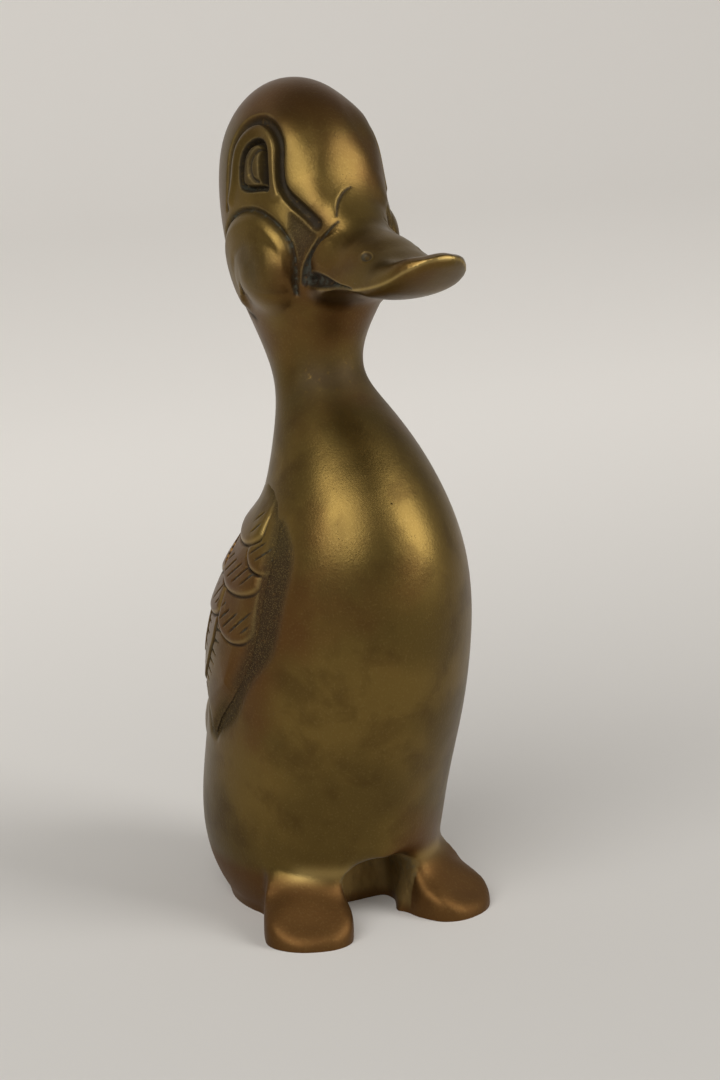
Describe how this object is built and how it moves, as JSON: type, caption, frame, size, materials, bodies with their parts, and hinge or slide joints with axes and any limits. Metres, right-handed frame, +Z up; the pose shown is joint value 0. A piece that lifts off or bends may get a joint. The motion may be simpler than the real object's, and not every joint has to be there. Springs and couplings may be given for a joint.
{
  "type": "duck figurine",
  "caption": "Upright hollow brass duck ornament with splayed webbed feet, an upturned bill, puffed cheeks and low-relief wings.",
  "frame": {"origin": "on the floor, under the middle of the bounding box", "axes": "+Z up, the duck faces -Y, its right side is -X, the median plane is X = 0"},
  "size_m": [0.0528, 0.0776, 0.1612],
  "materials": {
    "aged_brass": "rubbed patina"
  },
  "bodies": {
    "root": {"body_right_half": "aged_brass", "body_left_half": "aged_brass", "head_right_half": "aged_brass", "head_left_half": "aged_brass", "bill": "aged_brass", "right_wing": "aged_brass", "left_wing": "aged_brass", "right_foot": "aged_brass", "left_foot": "aged_brass"}
  },
  "joints": []
}
